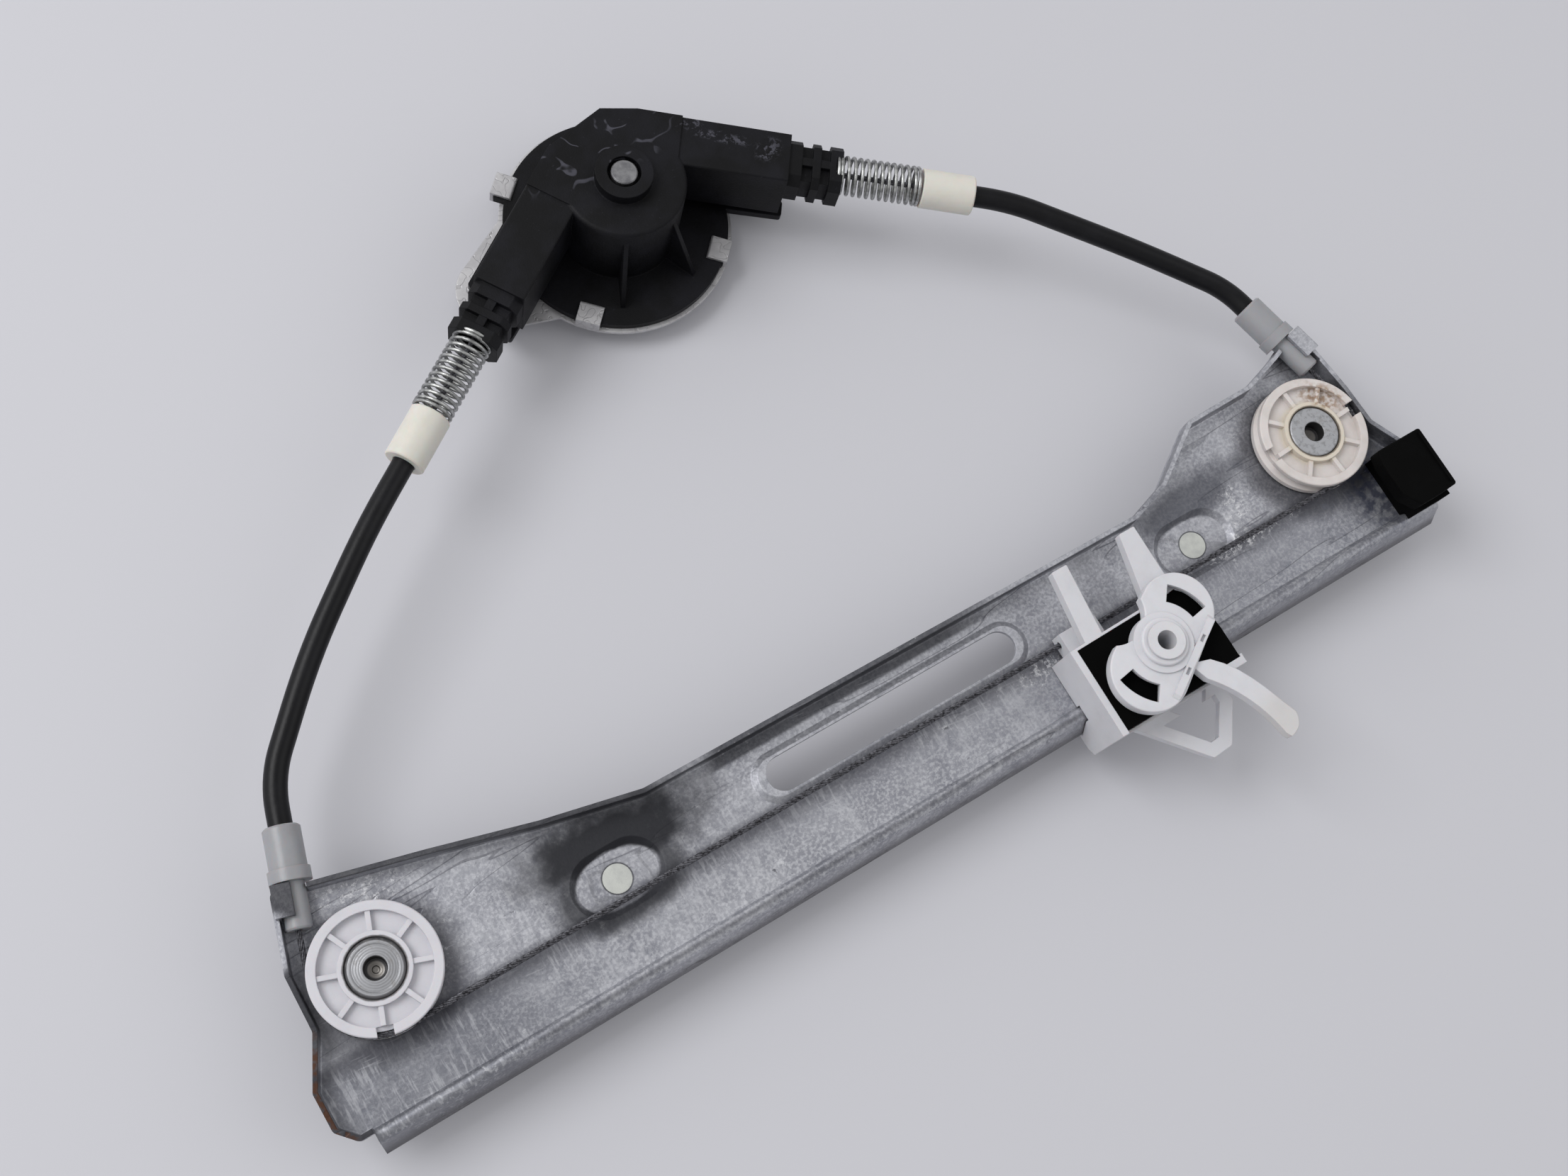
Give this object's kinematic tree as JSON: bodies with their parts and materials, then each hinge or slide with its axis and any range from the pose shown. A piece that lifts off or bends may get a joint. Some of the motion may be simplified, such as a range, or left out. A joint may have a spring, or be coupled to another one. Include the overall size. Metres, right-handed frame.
{
  "type": "window regulator",
  "caption": "Cable-driven window regulator: pressed rail with end pulleys, sliding glass carrier with clamp, and a drum housing joined by sprung conduits.",
  "frame": {"origin": "midway between the two mounting studs, on the pads' face that meets the door panel", "axes": "+X along the rail from the left pulley to the right one, +Y in the rail's plane towards the drum housing, +Z square to the plate, away from the door panel"},
  "size_m": [0.4235, 0.3114, 0.0524],
  "materials": {
    "galvanised": "satin, zinc spangle",
    "plated_stud": "satin zinc plate",
    "white_nylon": "smooth moulded nylon",
    "aged_nylon": "smooth moulded nylon, yellowed",
    "rivet_steel": "satin",
    "clear_nylon": "slightly translucent nylon",
    "black_sheath": "satin extruded sheath",
    "zinc_spring": "bright zinc plate",
    "wire_rope": "greased stranded steel",
    "black_moulding": "fine-grained moulded nylon",
    "drum_nylon": "smooth moulded nylon",
    "shaft_steel": "machined",
    "nipple_metal": "cast",
    "pad_rubber": "matte",
    "bush_metal": "smooth moulded nylon",
    "stop_rubber": "matte"
  },
  "bodies": {
    "root": {"rail": "galvanised", "left_stud": "plated_stud", "right_stud": "plated_stud", "left_pulley_rivet": "rivet_steel", "right_pulley_rivet": "rivet_steel", "left_socket": "clear_nylon", "right_socket": "clear_nylon", "left_conduit": "black_sheath", "right_conduit": "black_sheath", "left_ferrule": "clear_nylon", "right_ferrule": "clear_nylon", "left_spring": "zinc_spring", "right_spring": "zinc_spring", "left_drum_cable": "wire_rope", "right_drum_cable": "wire_rope", "wire_cable": "wire_rope", "drum_housing": "black_moulding", "drum_cover": "galvanised", "brake_cup": "shaft_steel", "brake_spring": "shaft_steel", "end_stop": "stop_rubber"},
    "left_pulley_body": {"left_pulley": "white_nylon"},
    "right_pulley_body": {"right_pulley": "aged_nylon"},
    "drum_body": {"cable_drum": "drum_nylon", "drum_shaft": "shaft_steel"},
    "carrier_body": {"carrier": "white_nylon", "carrier_pad": "pad_rubber", "left_nipple": "nipple_metal", "right_nipple": "nipple_metal", "clamp_bush": "bush_metal"},
    "clamp_body": {"glass_clamp": "white_nylon"}
  },
  "joints": [
    {"name": "carrier_slide", "type": "slide", "parent": "root", "child": "carrier_body", "axis": [1, 0, 0], "range_m": [-0.212, 0.08]},
    {"name": "clamp_turn", "type": "hinge", "parent": "carrier_body", "child": "clamp_body", "pos_m": [0.0717, -0.0246, 0.026], "axis": [0, 0, 1], "range_deg": [-50, 0]},
    {"name": "left_pulley_spin", "type": "hinge", "parent": "root", "child": "left_pulley_body", "pos_m": [-0.1894, 0.012, 0.0085], "axis": [0, 0, 1], "range_deg": [-640, 250]},
    {"name": "right_pulley_spin", "type": "hinge", "parent": "root", "child": "right_pulley_body", "pos_m": [0.1716, 0.012, 0.0085], "axis": [0, 0, 1], "range_deg": [-640, 250]},
    {"name": "drum_spin", "type": "hinge", "parent": "root", "child": "drum_body", "pos_m": [0.0015, 0.1995, 0.0085], "axis": [0, 0, 1], "range_deg": [-685, 265]}
  ],
  "couplings": [
    {"joint": "left_pulley_spin", "follows": "carrier_slide", "rad_per_m": 52.083},
    {"joint": "right_pulley_spin", "follows": "carrier_slide", "rad_per_m": 52.083},
    {"joint": "drum_spin", "follows": "carrier_slide", "rad_per_m": 55.556}
  ]
}
